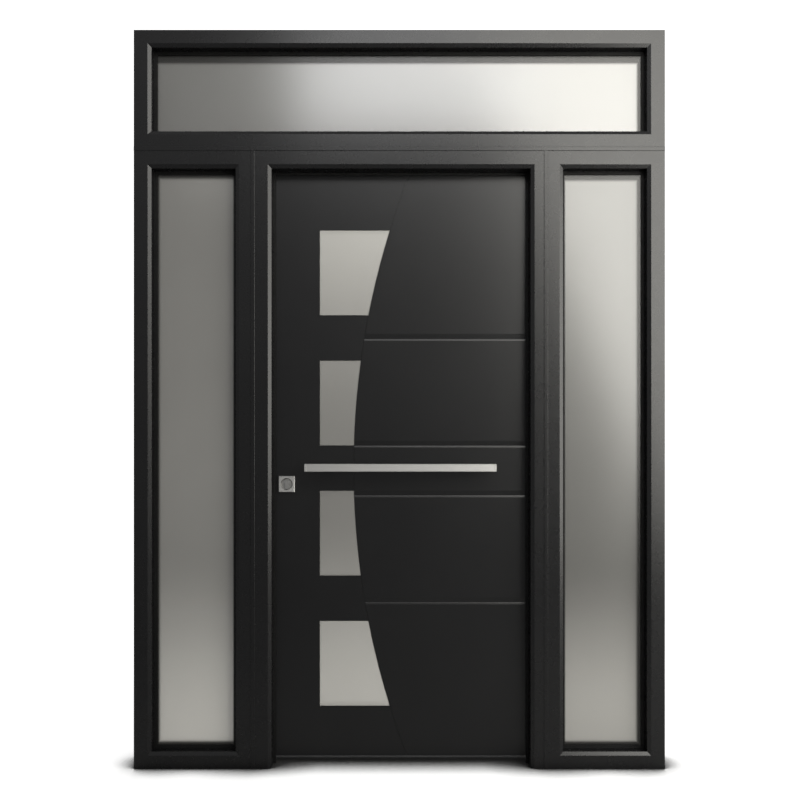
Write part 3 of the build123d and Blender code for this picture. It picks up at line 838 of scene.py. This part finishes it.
@dataclass(frozen=True)
class Softbox:
    """A large soft lamp, given by where it hangs, where it points and how it leans."""

    name: str
    place: Point
    aim: Point
    width: float
    height: float
    radiance: float
    lean: float = 0.0
    spread: float = 180.0
    tint: Point = (1.0, 1.0, 1.0)

    def build(self) -> None:
        """Hang the lamp. An area lamp of power P and area A shines with a radiance of P / (pi A)."""
        lamp = bpy.data.lights.new(self.name, "AREA")
        lamp.shape = "RECTANGLE"
        lamp.size = self.width
        lamp.size_y = self.height
        lamp.energy = self.radiance * np.pi * self.width * self.height
        lamp.spread = np.radians(self.spread)
        lamp.color = self.tint
        hung = bpy.data.objects.new(self.name, lamp)
        hung.location = self.place
        turn = Vector(self.aim).to_track_quat("-Z", "Y")
        hung.rotation_euler = (turn @ Quaternion((0, 0, 1), np.radians(self.lean))).to_euler()
        hung.visible_camera = False
        bpy.context.scene.collection.objects.link(hung)


@dataclass(frozen=True)
class Studio:
    """Pale floor and backdrop, surroundings, lamps and camera, placed from the foot of the set's front."""

    front: Point
    camera_distance: float = 2.75
    camera_side: float = -0.03
    camera_height: float = 1.088
    view_width: float = 2.711
    shift: tuple[float, float] = (0.0119, 0.06)
    sensor: float = 36.0
    floor_front: float = -9.0
    floor_back: float = 4.0
    sweep_radius: float = 2.0
    sweep_steps: int = 25
    wall_top: float = 8.0
    half_width: float = 24.0
    floor_tone: float = 0.46
    floor_roughness: float = 0.9
    floor_specular: float = 0.1
    near_glow: float = 0.86
    far_glow: float = 1.0
    glow_range: tuple[float, float] = (0.3, 1.5)
    mirrored_range: tuple[float, float] = (0.0, 0.3)
    painted_contact_shadow_samples: int = 8
    painted_contact_shadow_reach: float = 0.16
    painted_contact_shadow_range: tuple[float, float] = (0.52, 0.95)
    painted_contact_shadow_tone: float = 0.04
    low_level: float = 0.20
    high_level: float = 0.34
    level_range: tuple[float, float] = (-0.05, 0.45)

    def at(self, x: float, y: float, z: float) -> Point:
        """A point given from the middle of the set's front foot."""
        return (self.front[0] + x, self.front[1] + y, self.front[2] + z)

    def build(self) -> None:
        """Set up everything that isn't part of the object."""
        self.build_camera()
        self.build_sweep()
        self.build_world()
        for lamp in self.lamps():
            lamp.build()

    def build_camera(self) -> None:
        """Stand the camera before the door, level, with a shifted frame as in a straight-on view."""
        lens = bpy.data.cameras.new("front_view")
        lens.sensor_width = self.sensor
        lens.lens = self.sensor * self.camera_distance / self.view_width
        lens.shift_x, lens.shift_y = self.shift
        camera = bpy.data.objects.new("front_view", lens)
        camera.location = self.at(self.camera_side, -self.camera_distance, self.camera_height)
        camera.rotation_euler = (np.pi / 2, 0.0, 0.0)
        bpy.context.scene.collection.objects.link(camera)
        bpy.context.scene.camera = camera

    def build_sweep(self) -> None:
        """Lay the floor and sweep it up into a backdrop, as one profile carried along X.

        The profile runs straight back along the floor, turns up through a quarter circle and ends as a wall.
        """
        angle = np.linspace(0.0, np.pi / 2, self.sweep_steps)
        bend_y = self.floor_back + self.sweep_radius * np.sin(angle)
        bend_z = self.sweep_radius * (1 - np.cos(angle))
        depth = np.concatenate(([self.floor_front], bend_y, [bend_y[-1]]))
        level = np.concatenate(([0.0], bend_z, [self.wall_top]))
        side = np.array([-self.half_width, self.half_width])
        grid = np.stack(np.broadcast_arrays(side[:, None], depth[None, :], level[None, :]), axis=-1)
        index = np.arange(grid.shape[0] * grid.shape[1]).reshape(grid.shape[:2])
        faces = np.stack((index[:-1, :-1], index[1:, :-1], index[1:, 1:], index[:-1, 1:]), axis=-1)
        points = grid.reshape(-1, 3) + np.array(self.front)
        sweep = mesh_object("floor_sweep", points, faces.reshape(-1, 4).tolist())
        material, sketch, shader, place = new_material("floor_paint")
        # Painted contact shadow: the floor's colour and glow darken where something stands close by, found by
        # occlusion.
        nearby = sketch.add("ShaderNodeAmbientOcclusion", samples=self.painted_contact_shadow_samples)
        sketch.put(nearby, Distance=self.painted_contact_shadow_reach)
        free_of_painted_shadow = sketch.rise(nearby.outputs["AO"], *self.painted_contact_shadow_range, 0.0, 1.0)
        sketch.put(
            shader,
            Base_Color=sketch.shade(free_of_painted_shadow, grey(self.painted_contact_shadow_tone), grey(self.floor_tone)),
            Roughness=self.floor_roughness,
            Specular_IOR_Level=self.floor_specular,
            Emission_Color=WHITE,
            Emission_Strength=self.floor_glow(sketch, place, free_of_painted_shadow),
        )
        sweep.data.materials.append(material)

    def seen_white(self, sketch: Sketch, depth: bpy.types.NodeSocket) -> bpy.types.NodeSocket:
        """Which rays see white: the camera's, and behind the set mirrored and let-through ones too.

        Before the set only the camera sees white, so that the paint mirrors a plain grey studio.

        Args:
            sketch: tree of the floor's material or of the surroundings.
            depth: how far behind the set's front a point or a direction lies.

        Returns:
            1 where white is seen, else 0.
        """
        path = sketch.add("ShaderNodeLightPath")
        mirrored = sketch.sum("MAXIMUM", path.outputs["Is Glossy Ray"], path.outputs["Is Transmission Ray"])
        mirrored = sketch.sum("MULTIPLY", mirrored, sketch.rise(depth, *self.mirrored_range, 0.0, 1.0))
        return sketch.sum("MAXIMUM", path.outputs["Is Camera Ray"], mirrored)

    def floor_glow(
        self, sketch: Sketch, place: bpy.types.NodeSocket, free_of_painted_shadow: bpy.types.NodeSocket
    ) -> bpy.types.NodeSocket:
        """White of the floor and backdrop for the rays that see it, less where something stands close by:
        painted shadow.

        Args:
            sketch: the floor material's tree.
            place: its Object coordinates.
            free_of_painted_shadow: 1 on open floor, 0 in the painted shadow where something stands close by.

        Returns:
            Strength of the glow.
        """
        split = sketch.put(sketch.add("ShaderNodeSeparateXYZ"), Vector=place)
        depth = sketch.sum("SUBTRACT", split.outputs["Y"], self.front[1])
        level = sketch.rise(depth, *self.glow_range, self.near_glow, self.far_glow)
        return sketch.sum("MULTIPLY", sketch.sum("MULTIPLY", level, free_of_painted_shadow), self.seen_white(sketch, depth))

    def build_world(self) -> None:
        """Light the surroundings with a dim grey that grows a little towards the top, white where seen."""
        world = bpy.data.worlds.new("surroundings")
        world.use_nodes = True
        bpy.context.scene.world = world
        sketch = Sketch(world.node_tree)
        sky = sketch.add("ShaderNodeTexCoord")
        split = sketch.put(sketch.add("ShaderNodeSeparateXYZ"), Vector=sky.outputs["Generated"])
        height = sketch.rise(split.outputs["Z"], *self.level_range, 0.0, 1.0)
        dim = sketch.shade(height, grey(self.low_level), grey(self.high_level))
        colour = sketch.shade(self.seen_white(sketch, split.outputs["Y"]), dim, WHITE)
        sketch.put(world.node_tree.nodes["Background"], Strength=1.0, Color=colour)

    def lamps(self) -> tuple[Softbox, ...]:
        """The lamps: a leaning softbox and a side one at the right, a bank above, and one behind the set."""
        inwards = (0.0, 1.0, 0.0)
        return (
            Softbox(
                "right_softbox", place=self.at(2.1, -2.75, 2.64), aim=inwards,
                width=2.0, height=4.2, radiance=4.05, lean=23.0, spread=140.0, tint=WARM_WHITE,
            ),
            Softbox(
                "side_softbox", place=self.at(4.3, -2.05, 1.85), aim=(-0.9, 0.43, 0.0),
                width=1.8, height=3.4, radiance=5.0, tint=WARM_WHITE,
            ),
            Softbox(
                "upper_bank", place=self.at(0.12, -2.75, 4.0), aim=inwards,
                width=1.6, height=1.5, radiance=2.75, spread=140.0,
            ),
            Softbox(
                "inside_bank", place=self.at(-0.3, 2.8, 3.6), aim=(0.0, -0.8, -0.6),
                width=2.6, height=1.6, radiance=2.1,
            ),
        )


def set_front() -> Point:
    """The middle of the set's front foot, from the boxes of its outer stiles."""
    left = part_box("left_sidelight_outer_stile")
    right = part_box("right_sidelight_outer_stile")
    return ((left[0][0] + right[1][0]) / 2, left[0][1], left[0][2])


def main() -> None:
    """Load the frame, dress it, add the small fittings and set up the studio."""
    logging.basicConfig(level=logging.INFO, format="%(name)s: %(message)s")
    bpy.context.scene.view_settings.view_transform = "Standard"
    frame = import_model()
    shop = Workshop(frame)
    sub_assemblies = (
        FixedLight("left_sidelight", ("outer_stile", "inner_stile"), LEFT_GLASS, LEFT_PAINTED_SHADE_BAND),
        FixedLight("right_sidelight", ("inner_stile", "outer_stile"), RIGHT_GLASS, RIGHT_PAINTED_SHADE_BAND),
        FixedLight("transom", ("left_stile", "right_stile"), TRANSOM_GLASS, TRANSOM_PAINTED_SHADE_BAND, TRANSOM_LIP),
        DoorFrame(),
        DoorLeaf(),
        PullBar(),
        LockFurniture(),
        Hinges(),
    )
    for sub_assembly in sub_assemblies:
        sub_assembly.build(shop)
    if shop.bare:
        raise ValueError(f"no finish for {sorted(shop.bare)}")
    Studio(set_front()).build()


if __name__ == "__main__":
    main()
